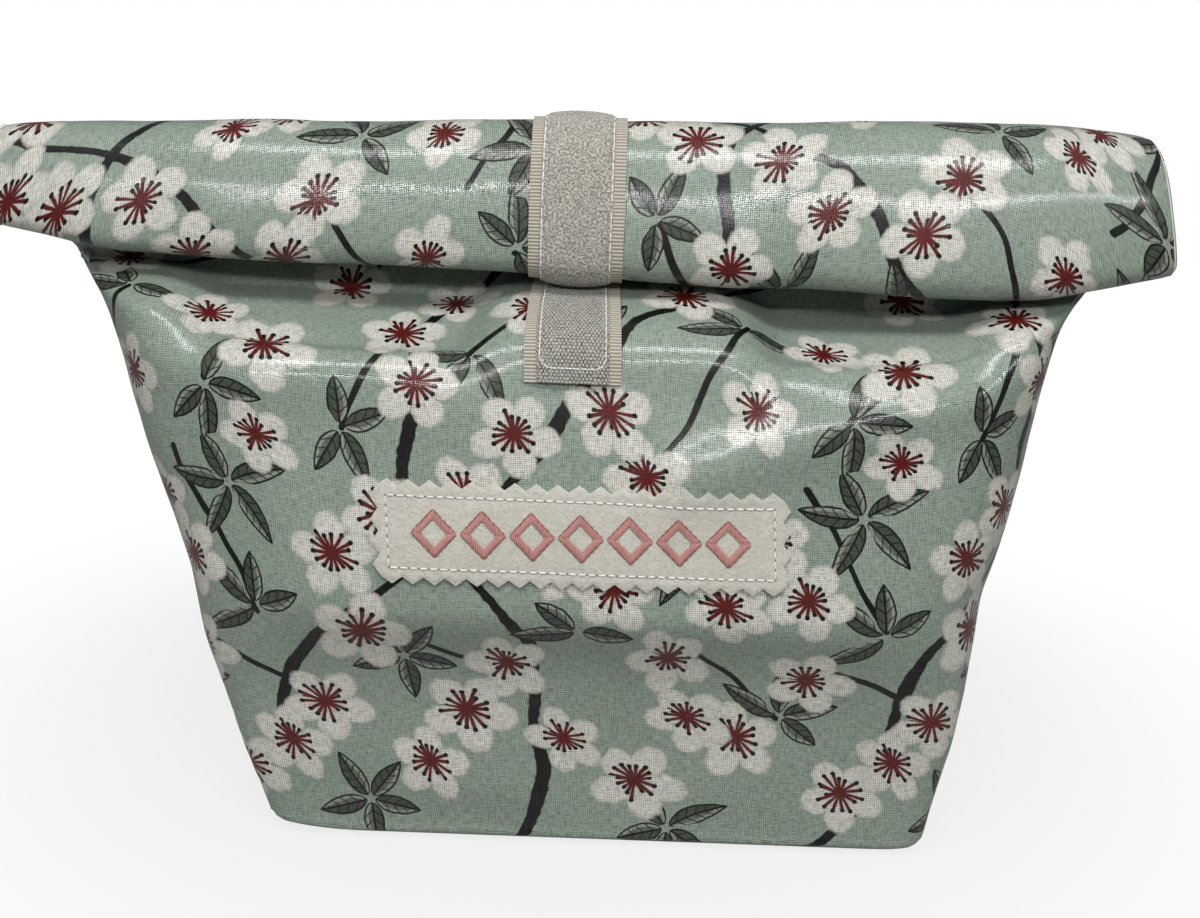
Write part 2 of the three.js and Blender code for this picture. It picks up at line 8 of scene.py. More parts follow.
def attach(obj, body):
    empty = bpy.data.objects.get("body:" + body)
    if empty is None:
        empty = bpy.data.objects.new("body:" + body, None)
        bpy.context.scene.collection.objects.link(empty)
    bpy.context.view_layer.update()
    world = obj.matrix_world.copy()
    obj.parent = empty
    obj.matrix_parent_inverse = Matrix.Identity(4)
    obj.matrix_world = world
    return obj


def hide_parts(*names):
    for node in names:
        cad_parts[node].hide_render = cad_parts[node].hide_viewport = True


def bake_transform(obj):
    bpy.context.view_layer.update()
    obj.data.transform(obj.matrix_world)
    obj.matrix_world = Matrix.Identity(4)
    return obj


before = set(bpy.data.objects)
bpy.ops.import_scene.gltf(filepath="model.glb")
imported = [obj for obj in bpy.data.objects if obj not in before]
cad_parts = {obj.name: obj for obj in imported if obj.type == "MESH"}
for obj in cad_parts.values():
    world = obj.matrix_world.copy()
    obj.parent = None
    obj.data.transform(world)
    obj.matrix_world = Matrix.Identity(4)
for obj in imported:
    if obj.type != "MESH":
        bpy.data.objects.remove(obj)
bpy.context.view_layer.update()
mm = 0.001
folds = ["roll_top", "roll_face", "roll_under", "roll_hem"]
print("frame loaded:", len(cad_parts), "nodes")


def smooth(t):
    t = np.clip(t, 0.0, 1.0)
    return t * t * (3 - 2 * t)


def mix(a, b, t):
    return a + (b - a) * t


def paint(red, green, blue):
    # a colour as it looks on screen, 0 to 255, as the shader wants it
    part = [c / 255 for c in (red, green, blue)]
    return tuple(c / 12.92 if c <= 0.04045 else ((c + 0.055) / 1.055) ** 2.4 for c in part) + (1.0,)


# shader wires
def mathsOf(operation):
    return lambda self, *others: self.maths(operation, *others)


class Wire:
    # one output socket; sums and comparisons on it add Math nodes

    def __init__(self, tree, socket=None):
        self.tree, self.socket = tree, socket

    def node(self, kind, settings=None, inputs=None, output=0):
        made = self.tree.nodes.new("ShaderNode" + kind)
        for name, value in (settings or {}).items():
            setattr(made, name, value)
        feed(made, inputs or {})
        return Wire(self.tree, made.outputs[output])

    def maths(self, operation, *others, clamp=False):
        settings = {"operation": operation, "use_clamp": clamp}
        return self.node("Math", settings, dict(enumerate((self,) + others)))

    def vector(self, operation, *others, output=0):
        inputs = dict(enumerate((self,) + others))
        return self.node("VectorMath", {"operation": operation}, inputs, output)

    def __rsub__(self, other):
        return self.node("Math", {"operation": "SUBTRACT"}, {0: other, 1: self})

    __add__ = __radd__ = mathsOf("ADD")
    __sub__ = mathsOf("SUBTRACT")
    __mul__ = __rmul__ = mathsOf("MULTIPLY")
    __truediv__ = mathsOf("DIVIDE")
    __pow__ = mathsOf("POWER")
    __lt__ = mathsOf("LESS_THAN")
    __gt__ = mathsOf("GREATER_THAN")
    __abs__ = mathsOf("ABSOLUTE")
    low = mathsOf("MINIMUM")
    high = mathsOf("MAXIMUM")
    sine = mathsOf("SINE")
    cosine = mathsOf("COSINE")
    floor = mathsOf("FLOOR")

    def ramp(self, start, end):
        # 0 at start, 1 at end, smoothly; start may be the larger of the two
        inputs = {0: self, 1: start, 2: end, 3: 0.0, 4: 1.0}
        return self.node("MapRange", {"interpolation_type": "SMOOTHSTEP"}, inputs)

    def parts(self):
        split = self.node("SeparateXYZ", None, {0: self})
        outs = split.socket.node.outputs
        return [Wire(self.tree, outs[i]) for i in range(3)]

    def noise(self, scale, detail=2.0, output=0, roughness=0.5):
        inputs = {"Vector": self, "Scale": scale, "Detail": detail, "Roughness": roughness}
        return self.node("TexNoise", {"noise_dimensions": "3D"}, inputs, output)

    def bump(self, strength, distance):
        return self.node("Bump", None, {"Strength": strength, "Distance": distance, "Height": self})


def feed(node, values):
    # links the wires and sets the constants on a node's inputs
    for key, value in values.items():
        if isinstance(value, Wire):
            value.tree.links.new(value.socket, node.inputs[key])
        else:
            node.inputs[key].default_value = value


def mixColour(factor, first, second, blend="MIX"):
    settings = {"data_type": "RGBA", "blend_type": blend}
    return factor.node("Mix", settings, {0: factor, 6: first, 7: second}, 2)


def mixVector(factor, first, second):
    return factor.node("Mix", {"data_type": "VECTOR"}, {0: factor, 4: first, 5: second}, 1)


def newMaterial(name):
    made = bpy.data.materials.new(name)
    made.use_nodes = True
    return made, Wire(made.node_tree), made.node_tree.nodes["Principled BSDF"]


# print on the cloth
blossomPrint = {
    "tile": (0.168, 0.186),  # the print repeats after this much cloth
    "ground": paint(160, 173, 160), "groundShade": paint(145, 159, 146),
    "petal": paint(222, 219, 210), "petalShade": paint(186, 184, 174),
    "stamen": paint(97, 22, 18), "stamenTip": paint(10, 6, 5),
    "bark": paint(10, 11, 9), "barkLight": paint(48, 51, 45),
    "leaf": paint(104, 111, 100), "leafDark": paint(62, 68, 60),
    "leafShine": paint(172, 176, 164), "leafLine": paint(9, 10, 8),
    "blossomRadius": 0.0124, "leafLength": 0.0175, "leafWidth": 0.0078,
    "barkWidth": 0.0013, "twigWidth": 0.00075,
    # blossoms in mm and degrees; the second layer lies over the first
    "under": [(12, 16, 8), (40, 30, 50), (22, 56, 31), (70, 14, 20), (95, 37, 12), (122, 20, 60),
              (146, 52, 40), (60, 76, 15), (103, 84, 45), (139, 102, 22), (18, 108, 33), (46, 126, 66),
              (86, 138, 5), (120, 150, 50), (155, 156, 40), (30, 166, 10), (160, 28, 35), (8, 78, 62),
              (84, 112, 28), (60, 50, 3)],
    "over": [(27, 36, 25), (84, 24, 60), (134, 36, 10), (50, 92, 44), (117, 96, 20), (8, 124, 55),
             (66, 148, 35), (132, 168, 3), (98, 172, 50), (152, 118, 15), (108, 62, 70), (38, 74, 26),
             (162, 84, 48), (126, 130, 68)],
    # where each spray of leaves starts, and how far it is turned
    "leaves": [(52, 38, 60), (118, 54, 20), (80, 66, 200), (74, 98, 80), (28, 92, 160),
               (166, 66, 100), (70, 124, 250), (106, 118, 340), (140, 140, 70), (44, 152, 100),
               (4, 148, 230), (104, 8, 20), (20, 2, 300)],
    # twigs from stalk to stalk, in mm
    "twigs": [(30, 60, 52, 38), (60, 56, 95, 40), (100, 66, 146, 52), (58, 108, 80, 66),
              (106, 118, 120, 150), (18, 108, 44, 152), (70, 124, 86, 138), (140, 140, 155, 156)],
}


def awayFrom(uv, place, tile):
    # the offset from the nearest copy of a place of the print
    away = uv.vector("SUBTRACT", place)
    return away.vector("WRAP", (tile[0] / 2, tile[1] / 2, 1.0), (-tile[0] / 2, -tile[1] / 2, -1.0))


def nearestPlace(uv, places, tile):
    # the offset from the nearest place, and its turn, which rides along in the third part
    best = shortest = None
    for x, y, turn in places:
        away = awayFrom(uv, (x * mm, y * mm, 0.0), tile)
        away = away.vector("ADD", (0.0, 0.0, math.radians(turn) * 1e-4))
        far = away.vector("LENGTH", output=1)
        if best is None:
            best, shortest = away, far
            continue
        best = mixVector(far < shortest, best, away)
        shortest = shortest.low(far)
    return best, (best.parts()[2] * 1e4).maths("SNAP", 0.01)


def polar(x, y):
    return (x * x + y * y).maths("SQRT"), y.maths("ARCTAN2", x)


def chance(seed, second):
    # a number from 0 to 1 that belongs to a pair of numbers
    pair = seed.node("CombineXYZ", None, {0: seed, 1: second})
    return seed.node("TexWhiteNoise", {"noise_dimensions": "2D"}, {"Vector": pair})


def blossomLayer(colour, uv, places, spec, wobble):
    # petals, stamens and their tips over a colour
    place, turn = nearestPlace(uv, places, spec["tile"])
    size = 1.1 - chance(turn, 3.0) * 0.2
    turned = place.node("VectorRotate", {"rotation_type": "Z_AXIS"}, {"Vector": place, "Angle": turn})
    x, y, _ = turned.parts()
    x, y = x * size, y * (size * (1.0 + chance(turn, 5.0) * 0.28))
    radius, angle = polar(x, y)
    reach = spec["blossomRadius"]
    fifth = math.tau / 5
    petalIndex = ((angle + fifth / 2) / fifth).floor()
    petalLuck = chance(turn, petalIndex)
    inPetal = angle.maths("WRAP", fifth / 2, -fifth / 2) + (petalLuck - 0.5) * 0.22
    along = radius * inPetal.cosine() - 0.56 * reach
    across = radius * inPetal.sine()
    bound = 0.4 + petalLuck * 0.09
    petal = (along / (bound * reach)) ** 2 + (across / (0.37 * reach)) ** 2 + wobble * 0.5
    onPetal = petal.ramp(1.2, 0.74).high(radius.ramp(0.42 * reach, 0.3 * reach))
    rim = petal.ramp(0.35, 1.05)
    crease = abs(across).ramp(0.0004, 0.0001) * radius.ramp(0.85 * reach, 0.45 * reach)
    shadeAmount = (rim * 0.45 + crease * 0.25 + radius.ramp(0.5 * reach, 0.1 * reach) * 0.3).low(1.0)
    shown = mixColour(shadeAmount, spec["petal"], spec["petalShade"])
    step = math.tau / 15
    x, y = x + 0.07 * reach, y - 0.04 * reach
    radius, angle = polar(x, y)
    luck = chance(turn + 7.0, (angle / step).floor())
    inStamen = angle.maths("WRAP", step, 0.0) - step / 2 + (luck - 0.5) * 0.26
    length = reach * 0.3 + luck * (reach * 0.26)
    beside = radius * inStamen.sine()
    ahead = radius * inStamen.cosine()
    hair = abs(beside + wobble * 0.0004).ramp(0.0007, 0.00038)
    hair = hair * ahead.ramp(length + 0.0002, length - 0.0002)
    heart = (radius + wobble * 0.001).ramp(0.23 * reach, 0.13 * reach)
    tip = ((ahead - length) ** 2 + beside * beside).maths("SQRT").ramp(0.00086, 0.00058)
    shown = mixColour(hair.high(heart), shown, spec["stamen"])
    shown = mixColour(tip, shown, spec["stamenTip"])
    return mixColour(onPetal, colour, shown)


def leafLayer(colour, uv, spec, wobble):
    # sprays of up to five leaves round one stalk
    place, turn = nearestPlace(uv, spec["leaves"], spec["tile"])
    x, y, _ = place.parts()
    radius, angle = polar(x, y)
    fifth = math.tau / 5
    angle = angle - turn
    index = (angle / fifth).floor()
    luck = chance(turn, index.maths("WRAP", 5.0, 0.0))
    inLeaf = angle.maths("WRAP", fifth, 0.0) - fifth / 2 + (luck - 0.5) * 0.5
    x, y = radius * inLeaf.cosine(), radius * inLeaf.sine()
    y = y + (x * x) * ((luck - 0.5) * 26.0)
    length = spec["leafLength"] * (0.55 + luck * 0.5)
    share = ((x - 0.0012) / length).maths("ADD", 0.0, clamp=True)
    half = ((share ** 0.6) * ((1 - share) ** 0.85)) * (spec["leafWidth"] * 1.05) + wobble * 0.0004
    half = half * (luck > 0.28)
    side = abs(y)
    within = (half - side).ramp(0.0, 0.00022)
    edge = (half - side).ramp(0.0009, 0.00045)
    vein = side.ramp(0.00042, 0.00018)
    ribs = ((x - side * 0.9) * (math.tau / 0.0029)).sine().ramp(0.7, 0.95)
    green = mixColour((y > 0.0) * 0.75, spec["leaf"], spec["leafDark"])
    shine = (half - side).ramp(0.0017, 0.0012) * (y < 0.0)
    green = mixColour(shine * 0.75, green, spec["leafShine"])
    green = mixColour((edge.high(vein).high(ribs * 0.8)), green, spec["leafLine"])
    return mixColour(within, colour, green)


def distanceToTwig(uv, twig, tile):
    x0, y0, x1, y1 = [c * mm for c in twig]
    half = Vector(((x1 - x0) / 2, (y1 - y0) / 2, 0.0))
    away = awayFrom(uv, ((x0 + x1) / 2, (y0 + y1) / 2, 0.0), tile)
    share = away.vector("DOT_PRODUCT", tuple(half / half.length_squared), output=1)
    share = share.low(1.0).high(-1.0)
    foot = share.node("CombineXYZ", None, {0: share * half.x, 1: share * half.y})
    return away.vector("SUBTRACT", foot).vector("LENGTH", output=1)


def branchLayer(colour, uv, spec, wobble):
    x, y, _ = uv.parts()
    wide, tall = spec["tile"]
    thick = uv.noise(55.0, 1.0)
    steady = y * (math.tau / tall)
    # one branch leans right by a tile's width over its height, the other climbs straight
    leaning = x - y * (wide / tall) - (steady * 2 + 0.8).sine() * 0.0075 - (steady + 2.0).sine() * 0.006
    leaning = abs((leaning - 0.052).maths("WRAP", wide / 2, -wide / 2)) * 0.74
    climbing = x - (steady + 0.4).sine() * 0.017 - (steady * 3 + 1.0).sine() * 0.0035
    climbing = abs((climbing - 0.138).maths("WRAP", wide / 2, -wide / 2)) * 0.88
    bark = leaning.low(climbing) - thick * (spec["barkWidth"] * 1.1) + wobble * 0.0009
    mask = bark.ramp(spec["barkWidth"] * 0.75, spec["barkWidth"] * 0.45)
    twig, *others = [distanceToTwig(uv, ends, spec["tile"]) for ends in spec["twigs"]]
    for other in others:
        twig = twig.low(other)
    mask = mask.high((twig - thick * 0.0004).ramp(spec["twigWidth"] * 1.1, spec["twigWidth"] * 0.7))
    grain = uv.vector("MULTIPLY", (1500.0, 420.0, 1.0)).noise(1.0, 2.0).ramp(0.55, 0.75)
    return mixColour(mask, colour, mixColour(grain * 0.6, spec["bark"], spec["barkLight"]))


def swayed(uv, scale, amount):
    # the cloth's measure, drifting softly by up to half the amount
    drift = uv.noise(scale, 1.0, output=1).vector("SUBTRACT", (0.5, 0.5, 0.5))
    return uv.vector("ADD", drift.vector("MULTIPLY", (amount, amount, 0.0)))


def printedColour(uv, spec):
    wobble = uv.noise(420.0, 1.0) - 0.5
    colour = mixColour(uv.noise(26.0, 2.0), spec["ground"], spec["groundShade"])
    colour = branchLayer(colour, swayed(uv, 38.0, 0.0085), spec, wobble)
    colour = leafLayer(colour, uv, spec, wobble)
    colour = blossomLayer(colour, uv, spec["under"], spec, wobble)
    return blossomLayer(colour, uv, spec["over"], spec, wobble)


# materials
coatedCotton = {
    # shade is the colour of the painted shade in the gaps between the threads
    "threadPitch": 0.00056, "weaveHeight": 0.00007, "shade": paint(106, 113, 107),
    "roughness": 0.34, "shine": 0.2, "coatRoughness": 0.165,
}


def weaveOf(uv, pitch):
    # height of a plain weave, 0 in its gaps and 1 on its threads
    x, y, _ = swayed(uv, 45.0, 0.003).parts()
    warp = abs((x * (math.pi / pitch)).sine())
    weft = abs((y * (math.pi / pitch)).sine())
    slub = uv.vector("MULTIPLY", (1900.0, 420.0, 1.0)).noise(1.0, 1.0)
    slub = slub + uv.vector("MULTIPLY", (420.0, 1900.0, 1.0)).noise(1.0, 1.0)
    return (warp * weft).maths("SQRT") * 0.85 + (slub - 1.0) * 0.7 + 0.12


def makeCoatedCotton():
    made, wire, surface = newMaterial("coated cotton with a blossom print")
    uv = wire.node("UVMap", {"uv_map": "cloth"})
    spec = coatedCotton
    colour = printedColour(uv, blossomPrint)
    weave = weaveOf(uv, spec["threadPitch"])
    # painted shade: the colour darkens in the gaps between the threads, mixed with the slubs' random
    # tone
    paintedGapShade = (1 - weave).low(1.0).high(0.0)
    wear = uv.noise(60.0, 3.0)
    crease = uv.vector("MULTIPLY", (1.0, 1.4, 1.0)).noise(75.0, 2.0)
    feed(surface, {
        "Base Color": mixColour(paintedGapShade, colour, spec["shade"], "MULTIPLY"),
        "Roughness": spec["roughness"] + (wear - 0.5) * 0.25,
        "Normal": (weave + crease * 2.4).bump(1.0, spec["weaveHeight"]),
        # the coating is thick on the threads and thin between them, so its shine is speckled
        "Coat Weight": (weave + (wear - 0.5) * 0.5).ramp(0.34, 0.92),
        "Coat Roughness": spec["coatRoughness"],
        "Specular IOR Level": spec["shine"],
    })
    return made


def makeLining():
    made, wire, surface = newMaterial("white cotton lining")
    weave = weaveOf(wire.node("UVMap", {"uv_map": "cloth"}), 0.0006)
    feed(surface, {
        # painted shade: the colour is darker in the gaps between the threads, mixed with the slubs'
        # random tone
        "Base Color": mixColour(weave, paint(196, 192, 183), paint(224, 221, 213)),
        "Normal": weave.bump(0.7, 0.00008),
        "Roughness": 0.82,
    })
    return made


tapeFinish = {
    "pile": paint(194, 191, 179), "border": paint(184, 177, 164),
    # borderDark is painted shade for the grooves between the selvedge's ribs
    "borderDark": paint(120, 113, 101), "borderWidth": 0.003, "ribPitch": 0.00092,
}


def makeTape(name, fibre, depth, rowPitch, dark):
    # u runs across the tape from its middle, v along it, both in metres
    made, wire, surface = newMaterial(name)
    uv = wire.node("UVMap", {"uv_map": "cloth"})
    spec = tapeFinish
    x, y, _ = uv.parts()
    edge = 0.0125 - spec["borderWidth"]
    inBorder = abs(x).ramp(edge - 0.0002, edge + 0.0002)
    fuzz = uv.noise(fibre, 2.0, roughness=0.75)
    clumps = uv.noise(fibre * 0.2, 2.0)
    pile = fuzz.ramp(0.33, 0.67) * 0.85 + (clumps - 0.5) * 0.5 + 0.1
    if rowPitch:
        # hooks stand in rows, each row shifted by half a hook
        row = (y / rowPitch).floor()
        hooks = ((x * (math.tau / (rowPitch * 1.15)) + row * math.pi).sine() * 0.5 + 0.5)
        hooks = hooks * abs((y * (math.pi / rowPitch)).sine())
        pile = pile * 0.55 + hooks * 0.6
    pile = pile.low(1.0).high(0.0)
    ribs = (y * (math.tau / spec["ribPitch"])).sine() * 0.5 + 0.5
    # painted shade: where the pile or the gaps between the hooks lie low, the colour turns to the dark
    # colour given, mixed with the fibres' random tone
    pileColour = mixColour(pile, dark, spec["pile"])
    # painted shade in the grooves between the selvedge's ribs
    borderColour = mixColour(ribs, spec["borderDark"], spec["border"])
    feed(surface, {
        "Base Color": mixColour(inBorder, pileColour, borderColour),
        "Normal": (pile * (1 - inBorder) + ribs * inBorder * 0.35).bump(1.0, depth),
        "Roughness": 0.85,
        "Sheen Weight": 0.2,
        "Sheen Roughness": 0.5,
    })
    return made


def makeLeather():
    made, wire, surface = newMaterial("grained off-white leather")
    uv = wire.node("UVMap", {"uv_map": "cloth"})
    cells = uv.node("TexVoronoi", {"feature": "DISTANCE_TO_EDGE"}, {"Vector": uv, "Scale": 900.0})
    creases = uv.vector("MULTIPLY", (1.0, 2.1, 1.0)).noise(300.0, 4.0, roughness=0.65)
    # painted shade: the colour darkens where the grain sinks, along the cells' edges and in the creases,
    # mixed with the creases' random tone
    grain = cells.ramp(0.0, 0.16) * 0.25 + abs(creases - 0.5).ramp(0.0, 0.045) * 0.4 + creases * 0.6
    feed(surface, {
        "Base Color": mixColour(grain.low(1.0), paint(156, 153, 142), paint(192, 189, 179)),
        "Normal": grain.bump(0.8, 0.00012),
        "Roughness": 0.5,
    })
    return made


def makeThread(name, bright, dull, roughness):
    made, wire, surface = newMaterial(name)
    strands = wire.node("TexCoord", None, None, 3).noise(2600.0, 2.0)
    feed(surface, {
        "Base Color": mixColour(strands, dull, bright),
        "Normal": strands.bump(0.6, 0.00006),
        "Roughness": roughness,
    })
    return made


materials = {
    "cotton": makeCoatedCotton(),
    "lining": makeLining(),
    # the last colour of each tape is painted shade for its low pile
    "loop": makeTape("loop tape", 1500.0, 0.0003, None, paint(102, 100, 93)),
    "hook": makeTape("hook tape", 1500.0, 0.00035, 0.00085, paint(16, 15, 14)),
    "leather": makeLeather(),
    "thread": makeThread("white thread", paint(236, 236, 232), paint(196, 195, 190), 0.7),
    # the needle holes' colour is painted shade
    "holes": makeThread("needle hole shade", paint(112, 109, 102), paint(84, 81, 76), 0.9),
    "silk": makeThread("rose embroidery silk", paint(196, 148, 140), paint(164, 112, 106), 0.42),
    "silkEdge": makeThread("dark rose silk", paint(150, 96, 90), paint(118, 70, 66), 0.5),
}
print("materials made")

# shape of the cloth, in mm
pouch = {
    "flatWidth": 318.0, "baseDepth": 132.0, "neckHeight": 151.5, "neckThickness": 7.4,
    "bellyFlare": 0.65, "bellyFlarePower": 1.05, "neckFlarePower": 60,
    "baseCorner": 12.0, "baseSquareness": 26, "bellySquareness": 4.5,
    "bellyDepthPower": 4, "shoulderDepthPower": 3, "neckSquareness": 40,
    "topNarrowing": 13.0,  # under the roll the sides stay in by this much
    "baseEdge": 4.5, "lean": 4.0, "leanHeight": 120, "sway": 5.8,
    "baseNarrowing": 0.011, "baseShallowing": 0.053,
    "leftBelly": {"height": 62, "by": 5.0}, "rightBelly": {"height": 92, "by": 6.4}, "bellyReach": 34,
    "raisedCorner": {"by": 2.0, "from": 68, "over": 28, "height": 26},
    "swells": [(34.0, 0.9), (13.0, 0.22)],  # how wide and how high the soft unevenness is
    "seamValley": {"depth": 1.6, "width": 2.2, "onRoll": 0.25},
    "columns": 168, "baseRows": 16, "edgeRows": 5, "wallStep": 1.7, "underside": 0.4,
}
rollPath = {
    # the outer face of the back panel, seen from the side as (y, z), from the neck to the mouth
    "knots": [(3.7, 151.5), (3.6, 160), (3.7, 169), (4.2, 177), (3.7, 184.5), (1.0, 190.4),
              (-4.5, 192.9), (-11.5, 191.6), (-17.2, 187.0), (-21.0, 180.6), (-23.8, 173),
              (-26.0, 165.2), (-26.4, 158.2), (-22.6, 154.3), (-16.4, 153.8), (-11, 156.2),
              (-8.0, 160.6), (-7.3, 166), (-7.2, 171)],
    # where the cloth is cut: behind by z, on top by y, in front by z and underneath by y
    "cuts": (172, -9.5, 173.5, -15),
    "halfThickness": 2.4, "halfWidth": 158.6, "centre": (-9.5, 171.0), "step": 1.25,
    "grow": 0.00125,  # the roll gets thicker towards the right end, per mm
    "squareness": 26, "lift": 0.005, "taperCentre": 184.0,
    "slant": {"by": 6.0, "from": 108, "over": 49, "bottom": 160, "height": 32},
    "left": {"from": 120.0, "length": 38.0, "taper": 0.16},
    "right": {"from": 116.0, "length": 44.0, "taper": 0.23},
}
# soft ridges of the front wall: from and to in (x, z), width, and height, which is below 0 for a dent
frontFolds = [
    ((-112, 134), (-30, 140), 8, 1.6),
    ((-98, 145), (-34, 146), 10, -8.5),
    ((28, 110), (116, 137), 8, 2.6),
    ((56, 148), (100, 145), 11, -9.0),
    ((-120, 118), (-96, 60), 12, 1.5),
    ((-60, 124), (-100, 96), 16, -1.4),
    ((100, 108), (92, 40), 14, 1.2),
    ((30, 132), (-20, 138), 12, -1.2),
    ((-84, 30), (-30, 14), 12, 1.0),
]


def quarterCurve(a, b, m, n):
    # |x/a|^m + |y/b|^n = 1 from the front centre to the side seam
    angle = np.linspace(math.pi / 2, 0, 260)
    x = a * np.abs(np.cos(angle)) ** (2 / m)
    y = b * np.abs(np.sin(angle)) ** (2 / n)
    x[0] = 0
    y[-1] = 0
    return x, y


def curveLength(x, y):
    return float(np.hypot(np.diff(x), np.diff(y)).sum())


def solveFor(measure, target, low, high):
    for _ in range(40):
        middle = (low + high) / 2
        if measure(middle) < target:
            low = middle
        else:
            high = middle
    return (low + high) / 2


quarterGirth = pouch["flatWidth"] / 2
neckHalf = pouch["neckThickness"] / 2
neckWidth = solveFor(lambda a: curveLength(*quarterCurve(a, neckHalf, pouch["neckSquareness"], 2)),
                     quarterGirth, 80, 200)
baseWidth = (pouch["flatWidth"] - pouch["baseDepth"]) / 2 + (1 - math.pi / 4) * pouch["baseCorner"] / 2


def sectionAt(h):
    spec = pouch
    atNeck = h ** spec["neckFlarePower"]
    early = smooth(2 * h)
    widening = mix(atNeck, h ** spec["bellyFlarePower"], spec["bellyFlare"])
    a = mix(baseWidth, neckWidth, widening)
    m = mix(mix(spec["baseSquareness"], spec["bellySquareness"], early), spec["neckSquareness"], atNeck)
    n = mix(spec["baseSquareness"], spec["bellyDepthPower"], early)
    n = mix(mix(n, spec["shoulderDepthPower"], smooth(2 * h - 1)), 2, atNeck)
    b = solveFor(lambda b: curveLength(*quarterCurve(a, b, m, n)), quarterGirth, 0.1, quarterGirth)
    return a - spec["topNarrowing"] * atNeck, max(b, neckHalf), m, n


def ringAt(section, shares):
    # points of one quarter at even shares of its length, as x and distance to the front
    x, y = quarterCurve(*section)
    walked = np.concatenate([[0], np.cumsum(np.hypot(np.diff(x), np.diff(y)))])
    walked /= walked[-1]
    across = np.interp(np.abs(shares), walked, x) * np.sign(shares)
    return across, np.interp(np.abs(shares), walked, y)


def catmullRom(knots, each=24):
    points = np.array(knots, float)
    ends = np.vstack([2 * points[0] - points[1], points, 2 * points[-1] - points[-2]])
    line = []
    for i in range(len(points) - 1):
        p0, p1, p2, p3 = ends[i:i + 4]
        for t in np.arange(each) / each:
            line.append(0.5 * (2 * p1 + (p2 - p0) * t + (2 * p0 - 5 * p1 + 4 * p2 - p3) * t * t
                               + (3 * p1 - p0 - 3 * p2 + p3) * t ** 3))
    line.append(points[-1])
    return np.array(line)


def lengthsAlong(line):
    return np.concatenate([[0], np.cumsum(np.linalg.norm(np.diff(line, axis=0), axis=1))])


def atLengths(line, walked, at):
    return np.column_stack([np.interp(at, walked, line[:, k]) for k in range(line.shape[1])])


def evenly(line, step):
    walked = lengthsAlong(line)
    at = np.linspace(0, walked[-1], max(2, int(round(walked[-1] / step))) + 1)
    return atLengths(line, walked, at), at


def rollRows():
    # even places along the roll, with close ones at the cuts, so that the cloth meets there unseen
    line = catmullRom(rollPath["knots"])
    walked = lengthsAlong(line)
    y, z = line[:, 0], line[:, 1]
    near, never = 0.15, 100
    behind, top, front, under = rollPath["cuts"]
    away = [np.abs(z - behind) + never * (walked > 24), np.abs(y - top) + never * (z < 185),
            np.abs(z - front) + never * (y > -20), np.abs(y - under) + never * (z > 160)]
    cuts = [walked[np.argmin(one)] for one in away]
    _, at = evenly(line, rollPath["step"])
    for cut in cuts:
        at = np.concatenate([at[np.abs(at - cut) > 0.5], [cut - near, cut, cut + near]])
    at = np.sort(at)
    rows = [int(np.argmin(np.abs(at - cut))) for cut in cuts]
    return atLengths(line, walked, at), at, rows


def ridgeField(x, z):
    total = np.zeros_like(x)
    for (startX, startZ), (endX, endZ), width, height in frontFolds:
        wayX, wayZ = endX - startX, endZ - startZ
        share = np.clip(((x - startX) * wayX + (z - startZ) * wayZ) / (wayX ** 2 + wayZ ** 2), 0, 1)
        far = np.hypot(x - startX - share * wayX, z - startZ - share * wayZ)
        total += height * np.exp(-(far / width) ** 2)
    return total


def normalsOf(points, side):
    # a row's columns run to the right and the rows run up, so the front panel's faces look forwards
    rowsAt = lengthsAlong(points[:, points.shape[1] // 2])
    up = np.gradient(points, rowsAt, axis=0)
    right = np.gradient(points, axis=1)
    cross = np.cross(right, up) if side == "front" else np.cross(up, right)
    size = np.linalg.norm(cross, axis=2, keepdims=True)
    return cross / np.maximum(size, 1e-9)


def waviness(points, scale, amount):
    flat = points.reshape(-1, 3) / scale
    return amount * np.array([noise.noise(Vector(p)) for p in flat]).reshape(points.shape[:2])


def shapeRoll(roll, walked):
    # the roll grows to the right, tapers at its ends, and its right end leans in at the top
    spec, slant = rollPath, rollPath["slant"]
    held = smooth((walked - 8) / 16)[:, None]
    x, y, z = np.moveaxis(roll, 2, 0)
    (cy, cz), taperZ = spec["centre"], spec["taperCentre"]
    size = 1 + spec["grow"] * x * held
    y[:] = cy + (y - cy) * size
    z[:] = cz + (z - cz) * size + spec["lift"] * x * held
    size = np.ones_like(x)
    for sign, end in ((-1, spec["left"]), (1, spec["right"])):
        size -= end["taper"] * smooth((sign * x - end["from"]) / end["length"]) * held
    y[:] = cy + (y - cy) * size
    z[:] = taperZ + (z - taperZ) * size
    high = np.clip((z - slant["bottom"]) / slant["height"], 0, 1)
    x -= slant["by"] * smooth((x - slant["from"]) / slant["over"]) * high * held


def pushed(points, side, shares, wallStart, neckStart):
    # soft unevenness, none at the side seams, where the two panels meet
    spec, seam = pouch, pouch["seamValley"]
    fade = 1 - np.abs(shares)[None, :] ** 10
    push = sum(waviness(points, scale, amount) for scale, amount in spec["swells"])
    wall = slice(wallStart, neckStart)
    if side == "front":
        toNeck = smooth((neckStart - np.arange(wallStart, neckStart)) * spec["wallStep"] / 5.0)[:, None]
        push[wall] += ridgeField(points[wall, :, 0], points[wall, :, 2]) * toNeck
    still = np.ones(len(points))
    still[:wallStart] = 0
    still[wall] = smooth((points[wall, 0, 2] - spec["baseEdge"]) / 14)
    push = push * fade * still[:, None]
    points = points + normalsOf(points, side) * push[..., None]
    # the seam's pull: a shallow valley along each side
    valley = seam["depth"] * np.exp(-((1 - np.abs(shares)) * quarterGirth / seam["width"]) ** 2)
    still = still * np.where(np.arange(len(points)) < neckStart, 1.0, seam["onRoll"])
    points[:, :, 0] -= np.sign(shares) * valley[None, :] * still[:, None]
    return points


